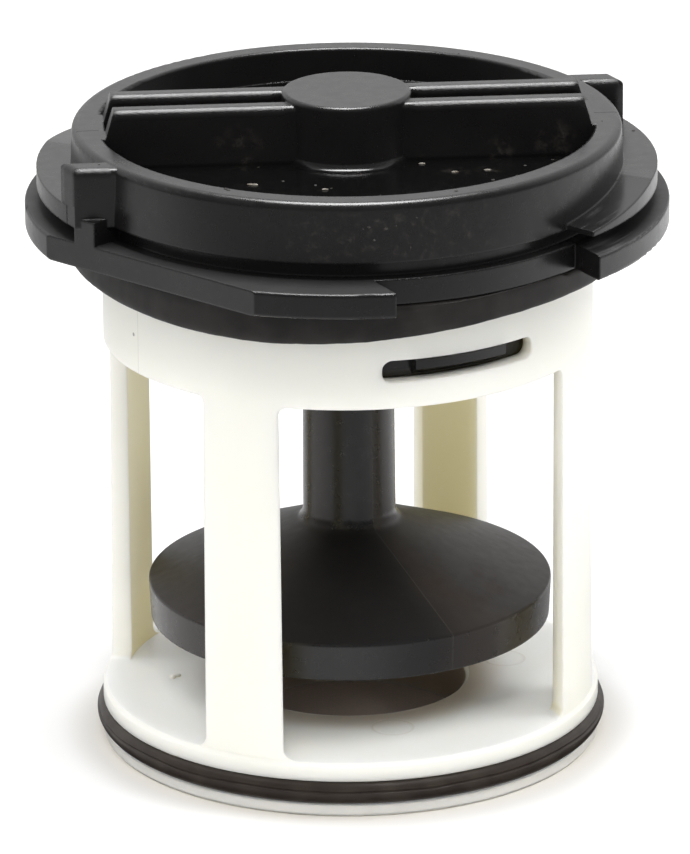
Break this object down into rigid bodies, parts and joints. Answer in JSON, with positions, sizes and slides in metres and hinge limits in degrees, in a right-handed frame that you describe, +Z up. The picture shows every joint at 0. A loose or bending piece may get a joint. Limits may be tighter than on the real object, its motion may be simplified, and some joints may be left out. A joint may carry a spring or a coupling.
{
  "type": "washing machine drain pump filter",
  "caption": "Round screw-in drain pump filter: black cap with a grip bar and bayonet wings, open white cage with a sealed base, and a cone deflector on a shaft.",
  "frame": {"origin": "middle of the cage's underside, on the surface that the filter stands on", "axes": "+Z up the filter's axis towards the grip; -Y the front, as the picture shows it"},
  "size_m": [0.0658, 0.0658, 0.0693],
  "materials": {
    "black_plastic": "satin",
    "white_plastic": "satin",
    "black_rubber": "matt"
  },
  "bodies": {
    "root": {"cap": "black_plastic", "deflector": "black_plastic", "cage": "white_plastic", "cage_o_ring": "black_rubber", "cap_gasket": "black_rubber"}
  },
  "joints": []
}
